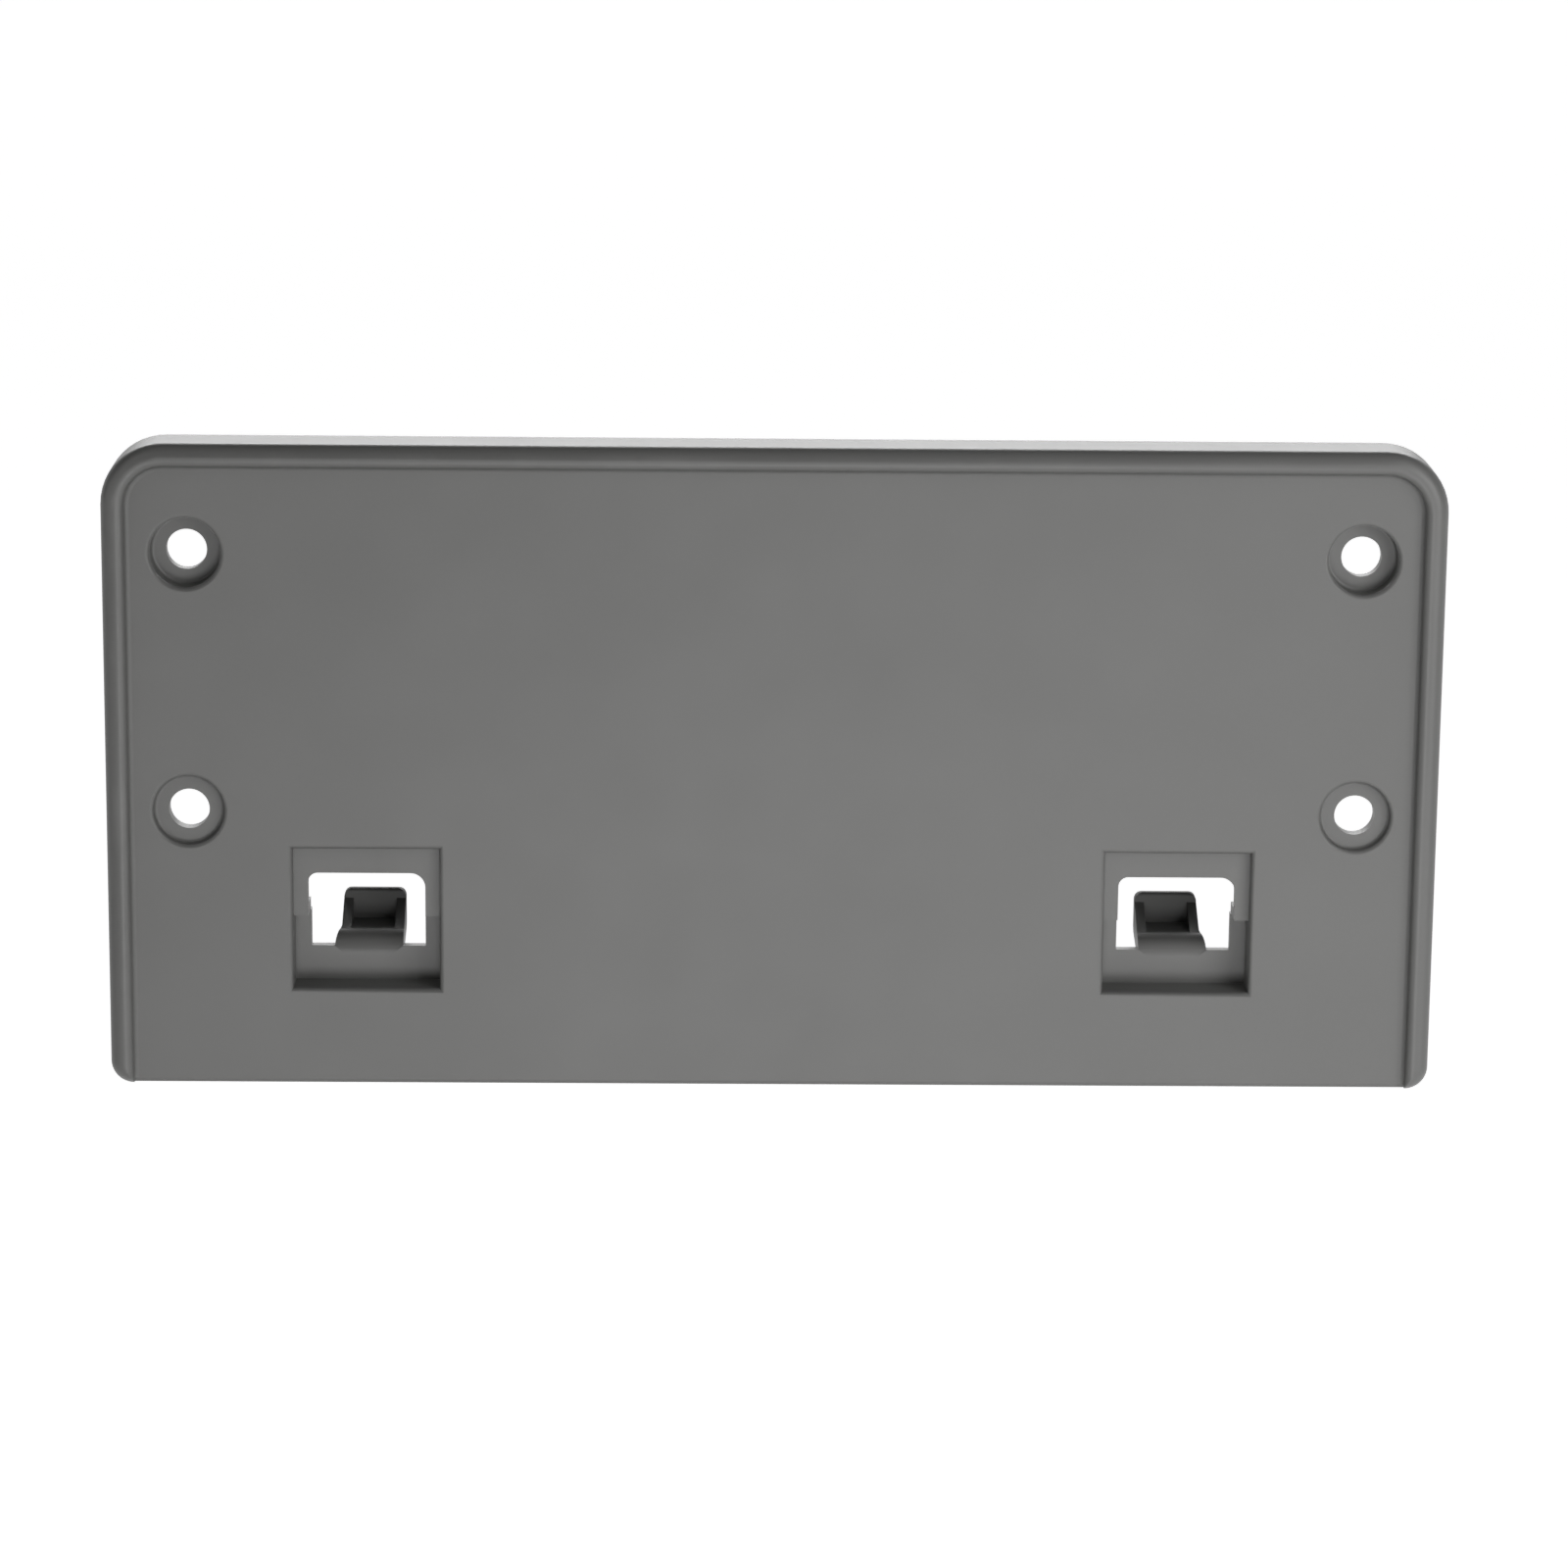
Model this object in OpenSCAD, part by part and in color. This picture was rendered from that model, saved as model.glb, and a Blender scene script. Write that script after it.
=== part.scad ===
// Number plate holder: one moulded tray with a raised rim on three sides, four recessed
// screw holes, and two pockets with a window and a hook that reaches back.
// Millimetres. +X to the right, +Z up, the plate side faces -Y. The origin is the centre
// of the four screw holes, on the seat at the bottom of the upper recesses.

/* [Overall] */
// Width over the side rims
overall_w = 322.5; // [318:0.5:330]
// Height from the lower edge to the top of the rim
overall_h = 158.5; // [155:0.5:166]
// Thickness of the flat panel behind the plate
panel_t = 2.5; // [2:0.1:3]
// Depth from the crest of the rim to the back edge of the skirt
skirt_d = 15; // [13.5:0.5:18]
// Wall thickness of the skirt
skirt_t = 2.6; // [2:0.1:3.2]

/* [Rim] */
// Width of the raised rim
rim_w = 5.6; // [4.6:0.1:6]
// Height of the rim over the panel
rim_h = 3; // [2.2:0.1:3.6]
// Rounding of the outer edge of the rim, which crowns most of its width
rim_out_r = 3.6; // [2:0.1:4.2]
// Rounding of the inner edge of the rim
rim_in_r = 1.8; // [0.4:0.1:2]
// Fillet where the rim meets the panel
rim_foot_r = 1.8; // [0.8:0.1:2]
// Corner radius at the top, seen from the front
top_corner_r = 15; // [11:0.5:20]
// Rounding of the open lower edge
low_edge_r = 1.2; // [0.5:0.1:1.6]

/* [Screw holes] */
// Distance between the holes across the holder
hole_span_x = 282.8; // [276:0.1:284]
// Distance between the upper and the lower holes
hole_span_z = 63.3; // [56:0.1:70]
// Distance from the top of the rim down to the upper holes
hole_drop = 26.75; // [20:0.25:30]
// Radius of the screw holes
hole_r = 4.9; // [2.5:0.1:5.5]
// Radius of the recess for the screw head
recess_r = 8.5; // [7.5:0.1:9.5]
// Rounding of the mouth of each recess
recess_mouth_r = 1; // [0.4:0.1:1.5]
// Fillet at the bottom of each recess
recess_foot_r = 0.8; // [0.3:0.1:1.2]
// Depth of the upper recesses, from the panel to the seat
upper_recess_d = 6; // [5:0.1:7.5]
// Depth of the lower recesses
lower_recess_d = 2.5; // [2:0.1:4]
// Material behind the upper seats
upper_seat_t = 3; // [2:0.1:4]
// Distance that the lower bosses reach behind the upper seats
lower_boss_past = 0.3; // [0.1:0.1:2]
// Wall around each recess
boss_wall = 2.2; // [1.6:0.1:3]

/* [Pockets] */
// Distance from the middle of the holder to the middle of each pocket
pocket_x = 98.7; // [85:0.1:108]
// Width of each pocket
pocket_w = 35.6; // [33:0.1:40]
// Height of each pocket
pocket_h = 35; // [32:0.1:40]
// Distance from the top of the rim down to the top of the pockets
pocket_drop = 99.5; // [96:0.5:105]
// Depth of the pocket floor below the step
pocket_d = 9.5; // [7:0.1:11]
// How much shallower the floor is above the step
floor_step = 6.5; // [3:0.1:7.5]
// Height of the step over the lower wall of the pocket
step_z = 17.6; // [14:0.1:20]
// Wall thickness around each pocket
pocket_wall = 2; // [1.6:0.1:3]
// Thickness of the pocket floor
pocket_floor_t = 2.5; // [1.8:0.1:3]
// Rounding of the mouth of each pocket
pocket_mouth_r = 1.2; // [0.3:0.1:1.6]

/* [Windows] */
// Width of the window in the pocket floor
window_w = 27.9; // [24:0.1:29]
// Height of the window
window_h = 20; // [15:0.1:22]
// Height of the window's lower edge over the lower wall of the pocket
window_z = 8.4; // [5:0.1:11]
// Extra width on each side of the window above the step
window_side = 0.3; // [0.1:0.1:1]
// Top left corner radius of both windows, seen from the front
window_left_r = 2.4; // [1:0.1:5]
// Top right corner radius of both windows
window_right_r = 3.6; // [1:0.1:5]

/* [Hooks] */
// Width of the hook at its root
hook_w = 16.8; // [12:0.1:20]
// How much the hook narrows behind its root, on the side near the end of the holder
hook_taper = 1.5; // [0.2:0.1:3]
// Length of that taper, from the front of the pocket floor
taper_l = 6; // [4:0.5:9]
// Reach of the hook behind the front of the pocket floor, up to its lip
hook_reach = 15; // [10:0.5:20]
// Height of the hook's shelf over the window's lower edge
hook_rise = 3.1; // [0.5:0.1:5]
// Radius of the bend from the face of the pocket floor up to the shelf
hook_bend_r = 5; // [3:0.1:6]
// Thickness of the shelf at the lip
hook_t = 3; // [2:0.1:4]
// How far the root of the shelf reaches below the window's lower edge
hook_root_drop = 4; // [3:0.1:5]
// Thickness of the cheeks along both sides of the shelf
cheek_t = 2.3; // [1:0.1:3]
// Distance from the top of the lip down to the top of the cheeks
cheek_drop = 2.4; // [1:0.1:4]
// Height of the lip over the shelf
lip_h = 7.5; // [5:0.1:9]
// Thickness of the lip
lip_t = 2.5; // [2:0.1:3.5]
// Corner radius of the lip, seen from the front
lip_corner_r = 2.2; // [1:0.1:3]
// Rounding along the top of the lip
lip_edge_r = 0.9; // [0.4:0.1:0.95]
// Height of the web under the root of the shelf
web_h = 3.5; // [1.5:0.1:5]

/* [Ribs] */
// Thickness of the stiffening ribs on the back
rib_t = 1.6; // [1.2:0.1:2.2]
// Height of the ribs over the back of the panel
rib_h = 3; // [1.5:0.1:4]
// Distance of the lowest rib from the lower edge
low_rib_z = 12; // [8:0.5:16]

/* [Colour] */
// Colour of the moulding
body_rgb = [0.17, 0.17, 0.165];

/* [Hidden] */
$fn = 96;
eps = 0.01;
out = 2; // how far a cutting tool runs past the material
bend_slope = 1.25; // how fast the bend narrows below the window, across over down

// Planes along Y, from the rim's crest to the back edge.
panel_y = -upper_recess_d;
crest_y = panel_y - rim_h;
panel_back_y = panel_y + panel_t;
back_y = crest_y + skirt_d;
lower_floor_y = panel_y + pocket_d;
upper_floor_y = lower_floor_y - floor_step;

// Roundings of the rim, limited by its width and its height.
crown_r = min(rim_out_r, rim_w - rim_in_r);
foot_r = min(rim_foot_r, rim_h - rim_in_r);

// Heights along Z.
top_z = hole_span_z / 2 + hole_drop;
low_z = top_z - overall_h;
pocket_top = top_z - pocket_drop;
pocket_low = pocket_top - pocket_h;
step_top = pocket_low + step_z;
window_low = pocket_low + window_z;
shelf_z = window_low + hook_rise;
lip_top_z = shelf_z + lip_h;

half_w = overall_w / 2;
low_corner_r = rim_w; // the side rims end in a quarter round as wide as the rim
side_len = overall_h - top_corner_r;
bend_end_y = lower_floor_y + hook_bend_r;
lip_y = lower_floor_y + hook_reach;
hook_end_y = lip_y + lip_t;

// Everything is drawn with the back edge at height 0 and the crest at height skirt_d,
// and then stood up so that the front looks towards -Y.
module stand() {
    translate([0, back_y, 0]) rotate([90, 0, 0]) children();
}

// A square corner less a quarter circle: the tool that rounds a corner at its origin.
module round_off(r) {
    difference() {
        translate([-out, -out]) square(r + out);
        translate([r, r]) circle(r);
    }
}

// Section across the side or top rim: x runs inwards from the outer wall, y forwards
// from the back edge.
module rim_section() {
    front = skirt_d - rim_h;
    difference() {
        union() {
            square([skirt_t, skirt_d]);
            translate([0, front - panel_t]) square([rim_w, panel_t + rim_h]);
            difference() {
                translate([rim_w - eps, front - panel_t])
                    square([foot_r + eps, panel_t + foot_r]);
                translate([rim_w + foot_r, front + foot_r]) circle(foot_r);
            }
        }
        translate([0, skirt_d]) mirror([0, 1]) round_off(crown_r);
        translate([rim_w, skirt_d]) mirror([0, 1]) mirror([1, 0]) round_off(rim_in_r);
    }
}

// Section across the open lower edge, in the same directions.
module low_section() {
    front = skirt_d - rim_h;
    difference() {
        square([skirt_t, front]);
        translate([0, front]) mirror([0, 1]) round_off(low_edge_r);
    }
}

// One side rim with its skirt, on the left, from the lower edge up to the top corner.
module side_run() {
    translate([-half_w, low_z, 0])
        rotate([90, 0, 0]) mirror([0, 0, 1]) linear_extrude(side_len) rim_section();
}

module top_run() {
    len = overall_w - 2 * top_corner_r;
    translate([-len / 2, top_z, 0]) rotate([90, 0, 90])
        linear_extrude(len) mirror([1, 0]) rim_section();
}

// The left top corner, turned about its own centre.
module top_corner() {
    translate([-half_w + top_corner_r, top_z - top_corner_r, 0])
        rotate([0, 0, 90]) rotate_extrude(angle = 90)
            translate([top_corner_r, 0]) mirror([1, 0]) rim_section();
}

module low_run() {
    translate([-half_w, low_z, 0]) rotate([90, 0, 90])
        linear_extrude(overall_w) low_section();
}

// The flat panel, let into the rim and the skirt all round.
module panel() {
    let_in = skirt_t / 2;
    translate([0, 0, back_y - panel_back_y]) linear_extrude(panel_t) difference() {
        translate([-half_w + let_in, low_z + low_edge_r])
            square([overall_w - 2 * let_in, overall_h - low_edge_r - let_in]);
        for (s = [0, 1]) mirror([s, 0])
            translate([-half_w + let_in, top_z - let_in]) mirror([0, 1])
                round_off(top_corner_r - let_in);
    }
}

// Tool that rounds the lower end of the left rim and skirt in plan and over the crest.
module low_corner_tool() {
    difference() {
        translate([-half_w - out, low_z - out, -out])
            cube([low_corner_r + out, low_corner_r + out, skirt_d + 2 * out]);
        translate([-half_w + low_corner_r, low_z + low_corner_r, -2 * out])
            rotate([0, 0, 180]) rotate_extrude(angle = 90) difference() {
                square([low_corner_r, skirt_d + 2 * out]);
                translate([low_corner_r, skirt_d + 2 * out])
                    mirror([0, 1]) mirror([1, 0]) round_off(crown_r);
            }
    }
}

// Tool that rounds the open lower edge between the ends of the side rims.
module low_edge_tool() {
    len = overall_w - 2 * low_corner_r;
    front = skirt_d - rim_h;
    translate([-len / 2, low_z, front]) rotate([90, 0, 90]) linear_extrude(len)
        difference() {
            translate([-out, -low_edge_r]) square([low_edge_r + out, low_edge_r + rim_h + out]);
            translate([low_edge_r, -low_edge_r]) circle(low_edge_r);
        }
}

// Each of the four holes: s is the side, t is 1 for the upper pair.
module at_hole(s, t) {
    translate([s * hole_span_x / 2, (t * 2 - 1) * hole_span_z / 2, 0]) children();
}

module bosses() {
    for (s = [-1, 1], t = [0, 1]) {
        end_y = t == 1 ? upper_seat_t : lower_boss_past;
        at_hole(s, t) translate([0, 0, back_y - end_y])
            cylinder(r = recess_r + boss_wall, h = end_y - panel_back_y + panel_t / 2);
    }
}

// Turned tool for one recess: a rounded mouth, a straight wall and a filleted foot.
module recess_tool(depth) {
    rotate_extrude() difference() {
        union() {
            translate([0, -depth]) square([recess_r, depth + out]);
            translate([0, -recess_mouth_r])
                square([recess_r + recess_mouth_r, recess_mouth_r + out]);
        }
        translate([recess_r + recess_mouth_r, -recess_mouth_r]) circle(recess_mouth_r);
        translate([recess_r, -depth]) mirror([1, 0]) difference() {
            translate([-out, -out]) square(recess_foot_r + out);
            translate([recess_foot_r, recess_foot_r]) circle(recess_foot_r);
        }
    }
}

module hole_tools() {
    front = back_y - panel_y;
    for (s = [-1, 1], t = [0, 1]) at_hole(s, t) {
        translate([0, 0, front]) recess_tool(t == 1 ? upper_recess_d : lower_recess_d);
        translate([0, 0, -out]) cylinder(r = hole_r, h = front + 2 * out);
    }
}

// Walls and stepped floor of the pocket on the left. The lower part has a ceiling as thick as
// its floor, which carries the shallow floor above the step.
module pocket_block() {
    w = pocket_w + 2 * pocket_wall;
    front = back_y - panel_y - panel_t / 2;
    low_back = back_y - lower_floor_y - pocket_floor_t;
    high_back = back_y - upper_floor_y - pocket_floor_t;
    translate([-pocket_x - w / 2, pocket_low - pocket_wall, low_back])
        cube([w, pocket_wall + step_z + pocket_floor_t, front - low_back]);
    translate([-pocket_x - w / 2, step_top, high_back])
        cube([w, pocket_h - step_z + pocket_wall, front - high_back]);
}

module pocket_tool() {
    front = back_y - panel_y;
    low_floor = back_y - lower_floor_y;
    high_floor = back_y - upper_floor_y;
    translate([-pocket_x - pocket_w / 2, pocket_low, low_floor])
        cube([pocket_w, step_z, front - low_floor + out]);
    translate([-pocket_x - pocket_w / 2, step_top - eps, high_floor])
        cube([pocket_w, pocket_h - step_z + eps, front - high_floor + out]);
    // mouth rounding along the four edges
    for (k = [0, 1]) {
        translate([-pocket_x, k == 0 ? pocket_low : pocket_top, front])
            mirror([0, k]) rotate([90, 0, 90])
                translate([0, 0, -pocket_w / 2 - pocket_mouth_r])
                    linear_extrude(pocket_w + 2 * pocket_mouth_r) mouth_profile();
        translate([-pocket_x + (k * 2 - 1) * pocket_w / 2, pocket_low, front])
            mirror([k, 0]) rotate([90, 0, 0])
                translate([0, 0, -pocket_h - pocket_mouth_r])
                    linear_extrude(pocket_h + 2 * pocket_mouth_r) mouth_profile();
    }
}

// x runs into the pocket and y forwards; the wall is at x < 0 and the panel face at y = 0.
module mouth_profile() {
    r = pocket_mouth_r;
    difference() {
        translate([-r, -r]) square([2 * r, r + out]);
        translate([-r, -r]) circle(r);
    }
}

// The two windows aren't mirror images: s is 0 for the left one, drawn as it is, and 1 for
// the right one, which is mirrored with the pocket, so its corner radii change sides.
module window_tool(s) {
    out_r = s == 0 ? window_left_r : window_right_r;
    in_r = s == 0 ? window_right_r : window_left_r;
    inner = -pocket_x + window_w / 2;
    outer = -pocket_x - window_w / 2;
    depth = pocket_floor_t + floor_step + 2 * out;
    window_top = window_low + window_h;
    translate([0, 0, back_y - lower_floor_y - pocket_floor_t - out]) linear_extrude(depth) {
        translate([outer, window_low]) square([window_w, step_top - window_low + eps]);
        difference() {
            translate([outer - window_side, step_top])
                square([window_w + 2 * window_side, window_top - step_top]);
            translate([outer - window_side, window_top]) mirror([0, 1]) round_off(out_r);
            translate([inner + window_side, window_top])
                mirror([0, 1]) mirror([1, 0]) round_off(in_r);
        }
    }
}

// Low ribs across the back of the panel.
module ribs() {
    z0 = back_y - panel_back_y - rib_h;
    h = rib_h + panel_t / 2;
    let_in = skirt_t / 4;
    len_x = overall_w - 2 * (skirt_t - let_in);
    len_z = overall_h - 2 * (skirt_t - let_in);
    for (z = [hole_span_z / 2, 0, -hole_span_z / 2, low_z + low_rib_z])
        translate([-len_x / 2, z - rib_t / 2, z0]) cube([len_x, rib_t, h]);
    for (x = [-pocket_x, -pocket_x / 2, 0, pocket_x / 2, pocket_x])
        translate([x - rib_t / 2, low_z + skirt_t - let_in, z0]) cube([rib_t, len_z, h]);
}

// Side view of the left hook: x runs backwards (+Y), y runs up (+Z). The shelf is let into
// the pocket floor, and the cheeks rise from the end of the bend to the lip.
module hook_side() {
    root = lower_floor_y + eps;
    heel = lip_t / 2;
    r = lip_edge_r;
    difference() {
        polygon([
            [root, shelf_z],
            [bend_end_y, shelf_z],
            [lip_y, lip_top_z - cheek_drop],
            [lip_y, lip_top_z],
            [hook_end_y, lip_top_z],
            [hook_end_y, shelf_z - hook_t + heel],
            [hook_end_y - heel, shelf_z - hook_t],
            [root, window_low - hook_root_drop]
        ]);
        translate([lip_y, lip_top_z]) mirror([0, 1]) round_off(r);
        translate([hook_end_y, lip_top_z]) mirror([0, 1]) mirror([1, 0]) round_off(r);
    }
}

// The hook seen from the front: full width at the root, round corners at the lip.
module hook_front() {
    low = window_low - hook_root_drop - out;
    difference() {
        translate([-hook_w / 2, low]) square([hook_w, lip_top_z - low]);
        translate([-hook_w / 2 + hook_taper, lip_top_z]) mirror([0, 1]) round_off(lip_corner_r);
        translate([hook_w / 2, lip_top_z]) mirror([0, 1]) mirror([1, 0]) round_off(lip_corner_r);
    }
}

// The hook seen from above: the outer side narrows behind the root.
module hook_plan() {
    polygon([
        [-hook_w / 2, lower_floor_y - out],
        [hook_w / 2, lower_floor_y - out],
        [hook_w / 2, hook_end_y + out],
        [-hook_w / 2 + hook_taper, hook_end_y + out],
        [-hook_w / 2 + hook_taper, lower_floor_y + taper_l],
        [-hook_w / 2, lower_floor_y]
    ]);
}

// Tool that opens the shelf of the left hook between its cheeks.
module channel_tool() {
    left = -hook_w / 2 + hook_taper + cheek_t;
    translate([left, bend_end_y, shelf_z])
        cube([hook_w / 2 - cheek_t - left, lip_y - bend_end_y, lip_h + out]);
}

// The left hook with a web under its shelf, in the final directions.
module hook() {
    low = window_low - hook_root_drop - out;
    web_root = lower_floor_y + pocket_floor_t / 2;
    translate([-pocket_x, 0, 0]) {
        difference() {
            intersection() {
                translate([-hook_w, 0, 0]) rotate([90, 0, 90])
                    linear_extrude(2 * hook_w) hook_side();
                translate([0, hook_end_y + out, 0]) rotate([90, 0, 0])
                    linear_extrude(hook_end_y - lower_floor_y + 2 * out) hook_front();
                translate([0, 0, low]) linear_extrude(lip_top_z + out - low) hook_plan();
            }
            channel_tool();
        }
        translate([-rib_t / 2, 0, 0]) rotate([90, 0, 90]) linear_extrude(rib_t) polygon([
            [web_root, window_low - hook_root_drop / 2],
            [lip_y, shelf_z - hook_t / 2],
            [web_root, window_low - hook_root_drop - web_h]
        ]);
    }
}

// Tool for the bend that leads from the face of the pocket floor to the left hook's shelf.
// Below the window it narrows, and it runs out in the face of the floor.
module bend_tool() {
    low = shelf_z - hook_bend_r;
    foot = max(window_low, low);
    half = hook_w / 2;
    narrow = min(bend_slope * (foot - low), half / 2);
    shoulder = foot + out / bend_slope;
    translate([-pocket_x, 0, 0]) intersection() {
        translate([-hook_w, lower_floor_y, shelf_z]) rotate([90, 0, 90])
            linear_extrude(2 * hook_w) mirror([0, 1]) round_off(hook_bend_r);
        translate([0, bend_end_y + out, 0]) rotate([90, 0, 0])
            linear_extrude(hook_bend_r + 3 * out) polygon([
                [-half - out, shelf_z + 2 * out],
                [half + out, shelf_z + 2 * out],
                [half + out, shoulder],
                [half - narrow, low - eps],
                [-half + narrow, low - eps],
                [-half - out, shoulder]
            ]);
    }
}

// The tray with its walls, bosses, ribs and pockets, and all that is cut into it.
module tray() {
    stand() difference() {
        union() {
            for (s = [0, 1]) mirror([s, 0]) {
                side_run();
                top_corner();
                pocket_block();
            }
            top_run();
            low_run();
            panel();
            bosses();
            ribs();
        }
        for (s = [0, 1]) mirror([s, 0]) {
            low_corner_tool();
            pocket_tool();
            window_tool(s);
        }
        low_edge_tool();
        hole_tools();
    }
}

module plate_holder() {
    color(body_rgb) difference() {
        union() {
            tray();
            for (s = [0, 1]) mirror([s, 0]) hook();
        }
        for (s = [0, 1]) mirror([s, 0]) bend_tool();
    }
}

plate_holder();
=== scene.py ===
"""Dressed scene of a moulded number plate holder.

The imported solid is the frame. A skin with softened moulding edges stands for it, in a fine-grained
grey plastic, above a plain pale floor in soft studio light. Sizes are metres in the part's own
frame: X runs across the plate, Y runs back into the car and Z runs up.
"""

import sys

import logging
import math
from collections.abc import Callable, Mapping, Sequence
from dataclasses import dataclass, field
from enum import Enum

import bpy
from mathutils import Matrix, Vector


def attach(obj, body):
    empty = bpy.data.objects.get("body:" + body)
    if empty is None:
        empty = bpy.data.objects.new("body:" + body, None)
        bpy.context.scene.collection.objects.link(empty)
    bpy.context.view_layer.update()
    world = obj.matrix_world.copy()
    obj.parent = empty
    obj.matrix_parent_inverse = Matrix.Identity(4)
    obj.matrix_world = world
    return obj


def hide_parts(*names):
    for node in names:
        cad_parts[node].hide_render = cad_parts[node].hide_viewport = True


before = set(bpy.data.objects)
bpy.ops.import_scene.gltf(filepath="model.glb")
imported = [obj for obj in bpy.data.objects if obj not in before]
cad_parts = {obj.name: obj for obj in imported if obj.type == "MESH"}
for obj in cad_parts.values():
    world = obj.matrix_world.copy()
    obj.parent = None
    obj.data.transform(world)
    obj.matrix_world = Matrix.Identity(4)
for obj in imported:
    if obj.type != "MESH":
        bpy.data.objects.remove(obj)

LOG = logging.getLogger("plate_holder_scene")
MM = 0.001
HOLDER_NODE = "plate_holder"
PHOTO_SIDE_PX = 1600.0
SENSOR_MM = 36.0
POCKET_X = 98.7 * MM
PATTERN_MIDDLE = 0.5

Colour = tuple[float, float, float, float]

WHITE: Colour = (1.0, 1.0, 1.0, 1.0)


class Ray(Enum):
    """The kinds of ray that see a background as white."""

    CAMERA = "Is Camera Ray"
    GLOSSY = "Is Glossy Ray"
    TRANSMISSION = "Is Transmission Ray"


class Pattern(Enum):
    """The uneven patterns of the plastic: the width of one patch in metres and its finer layers."""

    TOOL_GRAIN = (0.35 * MM, 3.0)
    SPECKLE = (0.9 * MM, 2.0)
    SMUDGE = (18.0 * MM, 4.0)
    FLOW = (70.0 * MM, 1.0)

    def __init__(self, width: float, layers: float) -> None:
        """Keeps the two numbers under their names.

        Args:
            width: The width of one patch in metres.
            layers: How many finer layers there are.
        """
        self.width = width
        self.layers = layers


class Joining(Enum):
    """The two ways in which a tool changes a body."""

    UNION = "UNION"
    DIFFERENCE = "DIFFERENCE"


class Value:
    """A number that varies over a surface: a shader socket with arithmetic."""

    def __init__(self, graph: "Graph", socket: bpy.types.NodeSocket) -> None:
        """Wraps a socket.

        Args:
            graph: The graph that the socket's node is in.
            socket: An output socket that holds one number.
        """
        self.graph = graph
        self.socket = socket

    def _maths(self, operation: str, first: "Operand", second: "Operand") -> "Value":
        """Adds one Math node.

        Args:
            operation: The Math node's operation.
            first: Its first value, a number or a Value.
            second: Its second value, a number or a Value.

        Returns:
            The result.
        """
        node = self.graph.node("ShaderNodeMath", {"operation": operation}, {0: first, 1: second})
        return Value(self.graph, node.outputs[0])

    def __add__(self, other: "Operand") -> "Value":
        """Adds a number or a Value."""
        return self._maths("ADD", self, other)

    def __radd__(self, other: "Operand") -> "Value":
        """Adds to a number."""
        return self._maths("ADD", other, self)

    def __sub__(self, other: "Operand") -> "Value":
        """Takes a number or a Value away."""
        return self._maths("SUBTRACT", self, other)

    def __rsub__(self, other: "Operand") -> "Value":
        """Is taken away from a number."""
        return self._maths("SUBTRACT", other, self)

    def __mul__(self, other: "Operand") -> "Value":
        """Multiplies by a number or a Value."""
        return self._maths("MULTIPLY", self, other)

    def __rmul__(self, other: "Operand") -> "Value":
        """Multiplies a number."""
        return self._maths("MULTIPLY", other, self)

    def size(self) -> "Value":
        """Gives the number without its sign."""
        return self._maths("ABSOLUTE", self, 0.0)

    def at_least(self, other: "Operand") -> "Value":
        """Gives the larger of the two."""
        return self._maths("MAXIMUM", self, other)

    def rise(self, start: float, end: float) -> "Value":
        """Turns the number into a smooth mask.

        Args:
            start: The number at which the mask is 0.
            end: The number at which the mask is 1, which may be below the start.

        Returns:
            The mask.
        """
        low, high = min(start, end), max(start, end)
        first, last = (0.0, 1.0) if start < end else (1.0, 0.0)
        node = self.graph.node(
            "ShaderNodeMapRange",
            {"interpolation_type": "SMOOTHSTEP"},
            {"Value": self, "From Min": low, "From Max": high, "To Min": first, "To Max": last},
        )
        return Value(self.graph, node.outputs[0])


Operand = float | Value
Paint = Colour | bpy.types.NodeSocket


class Graph:
    """The node tree of one material or of the world."""

    def __init__(self, tree: bpy.types.NodeTree) -> None:
        """Empties the tree and keeps it.

        Args:
            tree: The node tree to fill.
        """
        self.tree = tree
        self.tree.nodes.clear()

    def node(
        self,
        kind: str,
        settings: Mapping[str, object] | None = None,
        inputs: Mapping[str | int, object] | None = None,
    ) -> bpy.types.Node:
        """Adds a node.

        Args:
            kind: The node's type.
            settings: Its settings by name, set before its sockets.
            inputs: A number, a colour, a Value or a socket for each input socket, by name or place.

        Returns:
            The node.
        """
        made = self.tree.nodes.new(kind)
        for name, setting in (settings or {}).items():
            setattr(made, name, setting)
        for key, given in (inputs or {}).items():
            if isinstance(given, Value):
                self.tree.links.new(given.socket, made.inputs[key])
            elif isinstance(given, bpy.types.NodeSocket):
                self.tree.links.new(given, made.inputs[key])
            else:
                made.inputs[key].default_value = given
        return made

    def noise(self, place: bpy.types.NodeSocket, pattern: Pattern) -> Value:
        """Adds a random pattern.

        Args:
            place: The coordinates that it reads.
            pattern: The pattern's width and layers.

        Returns:
            The pattern, from 0 to 1 and mostly near a half.
        """
        given = {"Vector": place, "Scale": 1.0 / pattern.width, "Detail": pattern.layers}
        made = self.node("ShaderNodeTexNoise", {}, given)
        return Value(self, made.outputs[0])

    def mix(self, share: Value, first: Paint, second: Paint) -> bpy.types.NodeSocket:
        """Mixes two colours.

        Args:
            share: How much of the second colour shows, from 0 to 1.
            first: A colour or a colour socket.
            second: A colour or a colour socket.

        Returns:
            The mixed colour's socket.
        """
        given = {"Factor": share, 6: first, 7: second}
        made = self.node("ShaderNodeMix", {"data_type": "RGBA"}, given)
        return made.outputs[2]


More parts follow.
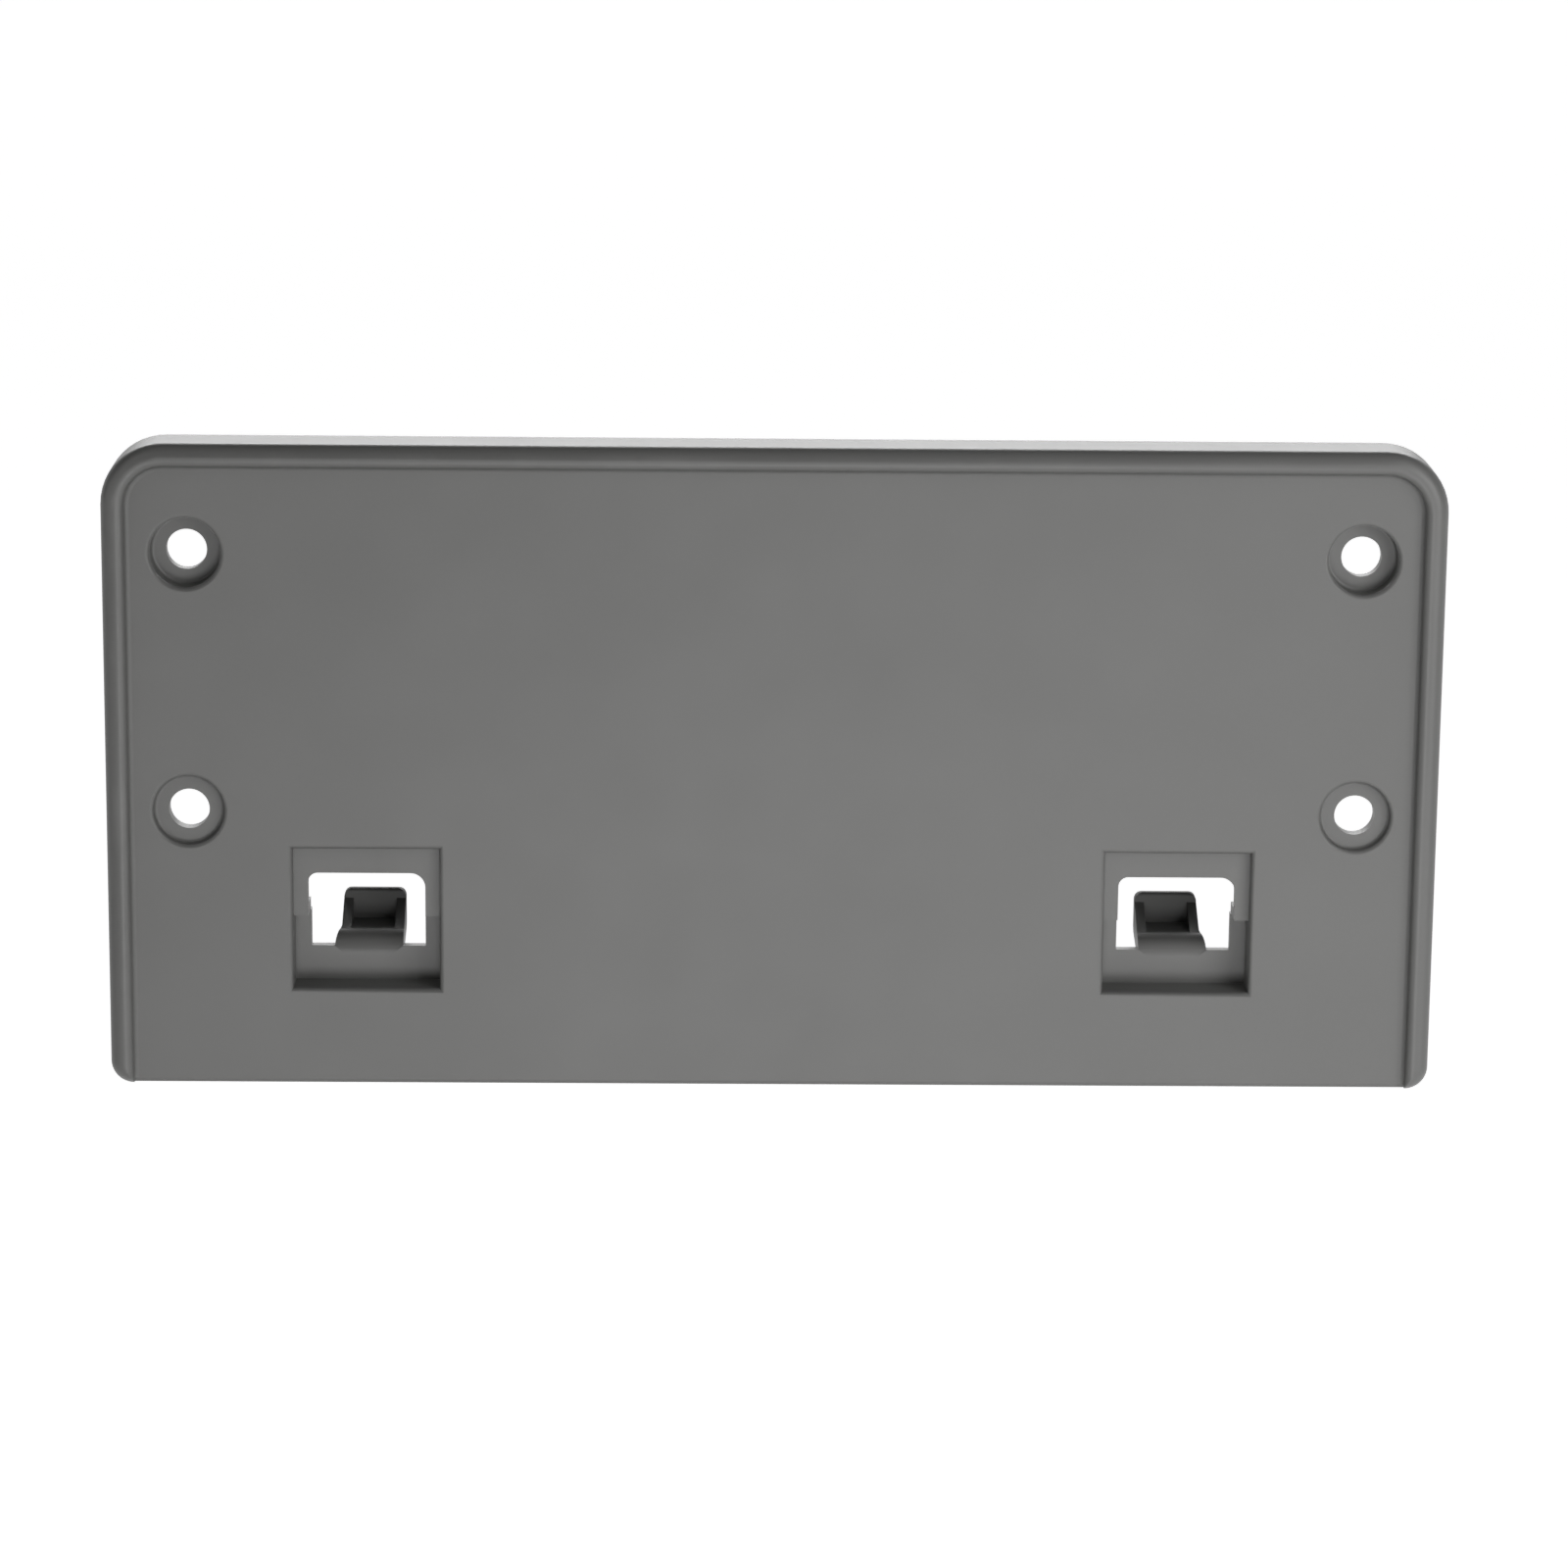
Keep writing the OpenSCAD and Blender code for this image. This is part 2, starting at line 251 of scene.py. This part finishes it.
@dataclass(frozen=True)
class MouldedPlastic:
    """The grey plastic: matt from a finely etched tool and rougher on the hooks, with painted shade
    on the hooks and painted light paling the panel towards the right and the foot.
    """

    name: str = "moulded_grey_plastic"
    body: Colour = (0.130, 0.130, 0.126, 1.0)
    # The pale and deep tones mix at random with the flow, and as painted light the panel grows paler
    # towards the right and the foot.
    pale: Colour = (0.166, 0.166, 0.162, 1.0)
    deep: Colour = (0.100, 0.100, 0.097, 1.0)
    rubbed: Colour = (0.155, 0.155, 0.151, 1.0)
    # Painted shade: the hooks' colour is darkened for the shade that falls on them behind the panel.
    hook_shade: Colour = (0.058, 0.058, 0.056, 1.0)
    body_share: float = 0.3
    speckle_share: float = 0.2
    flow_share: float = 0.1
    flow_edges: tuple[float, float] = (0.35, 0.65)
    rub_share: float = 0.5
    rub_edges: tuple[float, float] = (0.45, 0.75)
    roughness: float = 0.42
    roughness_swing: float = 0.06
    crest_polish: float = 0.04
    coarse_rise: float = 0.2
    refraction: float = 1.5
    sheen_level: float = 0.5
    grain_height: float = 0.004 * MM
    crest_y: float = -9.0 * MM
    crest_depth: float = 0.9 * MM
    # These set the painted light that pales the panel towards the right and the foot.
    drift_across: float = 0.65
    drift_left: float = -160.0 * MM
    drift_right: float = 180.0 * MM
    drift_down: float = 0.25
    drift_top: float = 60.0 * MM
    drift_foot: float = -100.0 * MM
    hook_x: float = POCKET_X
    hook_half: float = 9.0 * MM
    hook_side: float = 0.5 * MM
    hook_foot: float = -68.5 * MM
    hook_body: float = -63.5 * MM
    hook_top: float = -49.5 * MM
    hook_top_blend: float = 1.0 * MM

    def material(self) -> bpy.types.Material:
        """Makes the material.

        Returns:
            The material, with its node tree filled.
        """
        made = bpy.data.materials.new(self.name)
        made.use_nodes = True
        graph = Graph(made.node_tree)
        place = graph.node("ShaderNodeTexCoord").outputs["Object"]
        axes = graph.node("ShaderNodeSeparateXYZ", {}, {0: place})
        width, depth, height = (Value(graph, axes.outputs[axis]) for axis in "XYZ")

        flow = graph.noise(place, Pattern.FLOW)
        smudge = graph.noise(place, Pattern.SMUDGE)
        speckle = graph.noise(place, Pattern.SPECKLE)
        grain = graph.noise(place, Pattern.TOOL_GRAIN)
        crest = depth.rise(self.crest_y + self.crest_depth, self.crest_y)
        hook = self._hook_mask(width, height)

        # Painted light: the panel grows paler towards the right and the foot, over a random flow
        # tone.
        tone = graph.mix(self._painted_light_drift(width, height, flow), self.deep, self.pale)
        tone = graph.mix(self.body_share - self.speckle_share * speckle, tone, self.body)
        rub = crest * smudge.rise(*self.rub_edges) * self.rub_share
        tone = graph.mix(rub, tone, self.rubbed)
        # Painted shade: the hooks take the darker colour.
        tone = graph.mix(hook, tone, self.hook_shade)
        roughness = self.roughness + self.roughness_swing * (smudge - PATTERN_MIDDLE)
        roughness = roughness - self.crest_polish * crest + self.coarse_rise * hook

        given = {"Height": grain, "Distance": self.grain_height, "Strength": 1.0}
        bump = graph.node("ShaderNodeBump", {}, given)
        shader = graph.node(
            "ShaderNodeBsdfPrincipled",
            {},
            {
                "Base Color": tone,
                "Roughness": roughness,
                "IOR": self.refraction,
                "Specular IOR Level": self.sheen_level,
                "Normal": bump.outputs[0],
            },
        )
        graph.node("ShaderNodeOutputMaterial", {}, {"Surface": shader.outputs[0]})
        return made

    def _painted_light_drift(self, width: Value, height: Value, flow: Value) -> Value:
        """Works out how the tone varies with the flow and, as painted light, grows paler towards the
        right and the foot of the panel.

        Args:
            width: The place across the plate.
            height: The place up the plate.
            flow: The pattern of the plastic's flow.

        Returns:
            The share of the pale tone.
        """
        # Painted light: paler towards the right and towards the foot.
        across = self.drift_across * width.rise(self.drift_left, self.drift_right)
        down = self.drift_down * height.rise(self.drift_top, self.drift_foot)
        return self.flow_share * flow.rise(*self.flow_edges) + (across + down)

    def _hook_mask(self, width: Value, height: Value) -> Value:
        """Marks the two hooks, where the colour holds painted shade and the roughness rises.

        Args:
            width: The place across the plate.
            height: The place up the plate.

        Returns:
            The mask, which is 1 on the hooks and fades out at their feet.
        """
        across = (width.size() - self.hook_x).size()
        beside = across.rise(self.hook_half, self.hook_half - self.hook_side)
        above = height.rise(self.hook_foot, self.hook_body)
        below = height.rise(self.hook_top, self.hook_top - self.hook_top_blend)
        return beside * above * below


@dataclass(frozen=True)
class PaleStage:
    """The matt white of the floor and backdrop, which still takes a shadow."""

    name: str = "pale_stage"
    paint: Colour = (0.80, 0.80, 0.80, 1.0)
    glow: float = 0.97

    def material(self) -> bpy.types.Material:
        """Makes the material.

        Returns:
            The material, with its node tree filled.
        """
        made = bpy.data.materials.new(self.name)
        made.use_nodes = True
        graph = Graph(made.node_tree)
        rays = graph.node("ShaderNodeLightPath")
        seen = Value(graph, rays.outputs[Ray.CAMERA.value])
        for ray in (Ray.GLOSSY, Ray.TRANSMISSION):
            seen = seen.at_least(Value(graph, rays.outputs[ray.value]))
        paint = graph.node("ShaderNodeBsdfDiffuse", {}, {"Color": self.paint})
        glow = graph.node("ShaderNodeEmission", {}, {"Color": WHITE, "Strength": self.glow})
        lit = graph.node("ShaderNodeAddShader", {}, {0: paint.outputs[0], 1: glow.outputs[0]})
        given = {0: seen, 1: paint.outputs[0], 2: lit.outputs[0]}
        both = graph.node("ShaderNodeMixShader", {}, given)
        graph.node("ShaderNodeOutputMaterial", {}, {"Surface": both.outputs[0]})
        return made


@dataclass(frozen=True)
class PocketMouth:
    """The rounded mouth of one pocket, whose four roundings meet in plain corners."""

    middle_x: float
    middle_z: float = -58.6 * MM
    width: float = 35.6 * MM
    height: float = 35.0 * MM
    panel_y: float = -6.0 * MM
    radius: float = 1.2 * MM
    margin: float = 0.3 * MM
    steps: int = 6
    facing: float = 0.5

    def shape(self, skin: bpy.types.Object) -> None:
        """Fills the mouth flush with the panel and opens it again.

        Args:
            skin: The skin of the holder.
        """
        over = 2.0 * (self.radius + self.margin)
        plug = self._block("mouth_plug", 0.0, self.radius + self.margin, over)
        combine(skin, plug, Joining.UNION)
        combine(skin, self._funnel(), Joining.DIFFERENCE)

    def _block(self, name: str, front: float, back: float, over: float) -> bpy.types.Object:
        """Makes a block over the pocket.

        Args:
            name: Its name.
            front: The depth of its front below the panel.
            back: The depth of its back.
            over: How much wider and higher it is than the pocket.

        Returns:
            The block.
        """
        middle = (self.middle_x, self.panel_y + (front + back) / 2, self.middle_z)
        bpy.ops.mesh.primitive_cube_add(size=1.0, location=middle)
        block = bpy.context.object
        block.name = name
        block.scale = (self.width + over, back - front, self.height + over)
        bpy.ops.object.transform_apply(location=True, rotation=False, scale=True)
        return block

    def _flare(self) -> list[tuple[float, float]]:
        """Works out the flare of the mouth, which leaves the panel at a slight angle.

        Returns:
            How far each ring lies outside the pocket, and its depth below the panel.
        """
        turns = [math.pi / 2 * step / self.steps for step in range(1, self.steps)]
        rings = [(self.radius * (1 - math.cos(t)), self.radius * (1 - math.sin(t))) for t in turns]
        wide, deep = rings[-1]
        rings.append((wide + (deep + self.margin) * math.tan(turns[-1]), -self.margin))
        return rings

    def _funnel(self) -> bpy.types.Object:
        """Makes the tool that opens the mouth: straight below, and flared in a quarter round.

        Returns:
            The tool.
        """
        funnel = self._block("mouth_funnel", self.radius, self.radius + 2.0 * self.margin, 0.0)
        open_with_faces(funnel, lambda face: face.normal.y < -self.facing)
        middle = Vector((self.middle_x, self.panel_y, self.middle_z))
        past, depth = 0.0, self.radius
        for wider, higher in self._flare():
            move = {"value": (0.0, higher - depth, 0.0)}
            bpy.ops.mesh.extrude_region_move(TRANSFORM_OT_translate=move)
            grow_x = (self.width / 2 + wider) / (self.width / 2 + past)
            grow_z = (self.height / 2 + wider) / (self.height / 2 + past)
            bpy.ops.transform.resize(value=(grow_x, 1.0, grow_z), center_override=middle)
            past, depth = wider, higher
        bpy.ops.object.mode_set(mode="OBJECT")
        return funnel


@dataclass
class HolderSkin:
    """The moulded holder as it shows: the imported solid's shape with its sharp edges softened."""

    name: str = "holder_skin"
    merge: float = 0.001 * MM
    flat_angle: float = math.radians(0.5)
    edge_break: float = 0.22 * MM
    edge_angle: float = math.radians(32.0)
    edge_steps: int = 3
    broad_face: float = 200.0 * MM * MM
    most_corners: int = 40
    facing: float = 0.9
    shading_weight: int = 100
    pocket_x: float = POCKET_X
    finish: MouldedPlastic = field(default_factory=MouldedPlastic)

    def build(self) -> bpy.types.Object:
        """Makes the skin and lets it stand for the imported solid.

        Returns:
            The skin.
        """
        skin = self._merged_copy()
        for side in (-1.0, 1.0):
            PocketMouth(side * self.pocket_x).shape(skin)
        self._merge_flats(skin)
        self._soften(skin)
        skin.data.materials.clear()
        skin.data.materials.append(self.finish.material())
        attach(skin, "root")
        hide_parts(HOLDER_NODE)
        return skin

    def _merged_copy(self) -> bpy.types.Object:
        """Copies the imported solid's mesh and joins its loose triangles.

        Returns:
            The copy, at the origin.
        """
        skin = bpy.data.objects.new(self.name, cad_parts[HOLDER_NODE].data.copy())
        bpy.context.scene.collection.objects.link(skin)
        choose(skin)
        bpy.ops.mesh.customdata_custom_splitnormals_clear()
        bpy.ops.object.mode_set(mode="EDIT")
        bpy.ops.mesh.select_all(action="SELECT")
        bpy.ops.mesh.remove_doubles(threshold=self.merge)
        bpy.ops.object.mode_set(mode="OBJECT")
        return skin

    def _is_grid(self, face: bpy.types.MeshPolygon) -> bool:
        """Tells whether a face behind the panel has too many corners to be softened as one."""
        return face.normal.y > self.facing and len(face.vertices) > self.most_corners

    def _merge_flats(self, skin: bpy.types.Object) -> None:
        """Merges the triangles of each flat stretch into one face, but splits the grid of rib tops.

        Args:
            skin: The skin.
        """
        choose(skin)
        bpy.ops.object.mode_set(mode="EDIT")
        bpy.ops.mesh.select_all(action="SELECT")
        bpy.ops.mesh.remove_doubles(threshold=self.merge)
        bpy.ops.mesh.dissolve_limited(angle_limit=self.flat_angle, delimit=set())
        bpy.ops.object.mode_set(mode="OBJECT")
        open_with_faces(skin, self._is_grid)
        bpy.ops.mesh.quads_convert_to_tris(quad_method="BEAUTY", ngon_method="BEAUTY")
        bpy.ops.object.mode_set(mode="OBJECT")

    def _soften(self, skin: bpy.types.Object) -> None:
        """Breaks the skin's sharp edges and smooths its roundings.

        Args:
            skin: The skin.
        """
        choose(skin)
        bpy.ops.object.shade_smooth()
        edge = skin.modifiers.new("edge_break", "BEVEL")
        edge.width = self.edge_break
        edge.segments = self.edge_steps
        edge.limit_method = "ANGLE"
        edge.angle_limit = self.edge_angle
        edge.miter_outer = "MITER_ARC"
        even = skin.modifiers.new("even_shading", "WEIGHTED_NORMAL")
        even.mode = "FACE_AREA"
        even.weight = self.shading_weight
        even.keep_sharp = False
        for modifier in (edge, even):
            bpy.ops.object.modifier_apply(modifier=modifier.name)
        open_with_faces(skin, lambda face: face.area > self.broad_face)
        bpy.ops.mesh.set_normals_from_faces(keep_sharp=False)
        bpy.ops.object.mode_set(mode="OBJECT")


@dataclass(frozen=True)
class Softbox:
    """A soft rectangular studio lamp, aimed at a point."""

    name: str
    azimuth: float
    elevation: float
    width: float
    height: float
    power: float
    distance: float = 1.6
    aim: Vector = field(default_factory=lambda: Vector((0.0, 0.0, -0.02)))

    def build(self) -> bpy.types.Object:
        """Hangs the lamp.

        Returns:
            The lamp.
        """
        turn, tilt = math.radians(self.azimuth), math.radians(self.elevation)
        out = Vector(
            (math.sin(turn) * math.cos(tilt), -math.cos(turn) * math.cos(tilt), math.sin(tilt))
        )
        bpy.ops.object.light_add(type="AREA", location=self.aim + out * self.distance)
        lamp = bpy.context.object
        lamp.name = self.name
        lamp.rotation_euler = out.to_track_quat("Z", "Y").to_euler()
        lamp.data.shape = "RECTANGLE"
        lamp.data.size = self.width
        lamp.data.size_y = self.height
        lamp.data.energy = self.power
        return lamp


@dataclass
class Studio:
    """The pale floor with its backdrop, the lamps and the room's even light."""

    floor_z: float = -0.75
    floor_side: float = 60.0
    back_y: float = 9.0
    back_height: float = 9.0
    sweep_radius: float = 3.0
    sweep_steps: int = 16
    room_light: float = 0.03
    lamps: tuple[Softbox, ...] = (
        Softbox("right_softbox", azimuth=42.0, elevation=8.0, width=0.9, height=1.3, power=8.4),
        Softbox("right_front", azimuth=25.0, elevation=12.0, width=0.5, height=0.5, power=2.4),
        Softbox("right_small", azimuth=47.0, elevation=14.0, width=0.5, height=0.5, power=1.9),
        Softbox("right_high", azimuth=47.0, elevation=40.0, width=0.5, height=0.5, power=2.3),
        Softbox("left_side", azimuth=-72.0, elevation=12.0, width=0.5, height=0.6, power=1.5),
        Softbox("left_front", azimuth=-47.0, elevation=14.0, width=0.5, height=0.5, power=0.5),
        Softbox("left_high", azimuth=-47.0, elevation=40.0, width=0.5, height=0.5, power=1.4),
        Softbox("front_low", azimuth=0.0, elevation=-14.0, width=0.6, height=0.5, power=5.2),
        Softbox("back_strip", azimuth=180.0, elevation=28.0, width=1.6, height=0.4, power=14.4),
    )

    def build(self) -> None:
        """Lays the floor, hangs the lamps and sets the room's light."""
        self._floor()
        for lamp in self.lamps:
            lamp.build()
            LOG.info("lamp %s: %.1f W", lamp.name, lamp.power)
        self._room()

    def _floor(self) -> bpy.types.Object:
        """Lays the floor, whose far edge sweeps up into the backdrop.

        Returns:
            The floor.
        """
        middle = (0.0, self.back_y - self.floor_side / 2, self.floor_z)
        bpy.ops.mesh.primitive_plane_add(size=self.floor_side, location=middle)
        floor = bpy.context.object
        floor.name = "pale_floor"
        bpy.ops.object.transform_apply(location=True, rotation=False, scale=False)
        bpy.ops.object.mode_set(mode="EDIT")
        bpy.ops.mesh.select_all(action="DESELECT")
        bpy.ops.object.mode_set(mode="OBJECT")
        corners = floor.data.vertices
        for edge in floor.data.edges:
            edge.select = all(corners[place].co.y > self.back_y - MM for place in edge.vertices)
        bpy.ops.object.mode_set(mode="EDIT")
        bpy.ops.mesh.select_mode(type="EDGE")
        rise = {"value": (0.0, 0.0, self.back_height)}
        bpy.ops.mesh.extrude_region_move(TRANSFORM_OT_translate=rise)
        bpy.ops.object.mode_set(mode="OBJECT")
        sweep = floor.modifiers.new("sweep", "BEVEL")
        sweep.width = self.sweep_radius
        sweep.segments = self.sweep_steps
        bpy.ops.object.modifier_apply(modifier=sweep.name)
        bpy.ops.object.shade_smooth()
        floor.data.materials.append(PaleStage().material())
        return floor

    def _room(self) -> None:
        """Sets the room's even light."""
        world = bpy.data.worlds.new("studio_room")
        bpy.context.scene.world = world
        world.use_nodes = True
        graph = Graph(world.node_tree)
        given = {"Color": WHITE, "Strength": self.room_light}
        light = graph.node("ShaderNodeBackground", {}, given)
        graph.node("ShaderNodeOutputWorld", {}, {"Surface": light.outputs[0]})


@dataclass(frozen=True)
class PhotoCamera:
    """The camera at the photograph's viewing angle."""

    azimuth: float = math.radians(-1.0)
    elevation: float = math.radians(13.36)
    roll: float = math.radians(0.57)
    distance: float = 1.3
    focal_px: float = 5455.8
    reach: float = 200.0
    target: Vector = field(default_factory=lambda: Vector((2.68 * MM, 0.0, -25.55 * MM)))

    def build(self) -> bpy.types.Object:
        """Places the camera and makes it the scene's own.

        Returns:
            The camera.
        """
        ahead = Vector(
            (
                -math.sin(self.azimuth) * math.cos(self.elevation),
                math.cos(self.azimuth) * math.cos(self.elevation),
                -math.sin(self.elevation),
            )
        )
        level = ahead.cross(Vector((0.0, 0.0, 1.0))).normalized()
        upright = level.cross(ahead)
        right = math.cos(self.roll) * level + math.sin(self.roll) * upright
        up = math.cos(self.roll) * upright - math.sin(self.roll) * level
        data = bpy.data.cameras.new("photo_camera")
        data.sensor_width = SENSOR_MM
        data.lens = self.focal_px * SENSOR_MM / PHOTO_SIDE_PX
        data.clip_end = self.reach
        camera = bpy.data.objects.new("photo_camera", data)
        bpy.context.scene.collection.objects.link(camera)
        turn = Matrix((right, up, -ahead)).transposed().to_4x4()
        camera.matrix_world = Matrix.Translation(self.target - ahead * self.distance) @ turn
        bpy.context.scene.camera = camera
        return camera


def choose(chosen: bpy.types.Object) -> None:
    """Selects one object alone and makes it active.

    Args:
        chosen: The object.
    """
    bpy.ops.object.select_all(action="DESELECT")
    chosen.select_set(True)
    bpy.context.view_layer.objects.active = chosen


def open_with_faces(
    body: bpy.types.Object, wanted: Callable[[bpy.types.MeshPolygon], bool]
) -> None:
    """Opens the active object in edit mode, with some of its faces selected.

    Args:
        body: The active object.
        wanted: Tells for each face whether it is selected.
    """
    bpy.ops.object.mode_set(mode="EDIT")
    bpy.ops.mesh.select_mode(type="FACE")
    bpy.ops.mesh.select_all(action="DESELECT")
    bpy.ops.object.mode_set(mode="OBJECT")
    for face in body.data.polygons:
        face.select = wanted(face)
    bpy.ops.object.mode_set(mode="EDIT")


def combine(body: bpy.types.Object, tool: bpy.types.Object, joining: Joining) -> None:
    """Joins a tool to a body or cuts the body with it, and removes the tool.

    Args:
        body: The object that is changed.
        tool: The other object.
        joining: Whether the tool is added or taken away.
    """
    choose(body)
    step = body.modifiers.new(tool.name, "BOOLEAN")
    step.object = tool
    step.operation = joining.value
    step.solver = "EXACT"
    bpy.ops.object.modifier_apply(modifier=step.name)
    bpy.data.objects.remove(tool)


def main() -> None:
    """Builds the camera, the holder and the studio in order."""
    logging.basicConfig(level=logging.INFO, format="%(name)s: %(message)s", stream=sys.stdout)
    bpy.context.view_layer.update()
    bpy.ops.object.select_all(action="DESELECT")
    camera = PhotoCamera().build()
    LOG.info("camera: %.1f mm lens", camera.data.lens)
    skin = HolderSkin().build()
    LOG.info("skin: %d faces", len(skin.data.polygons))
    Studio().build()
    bpy.context.scene.view_settings.view_transform = "Standard"


if __name__ == "__main__":
    main()
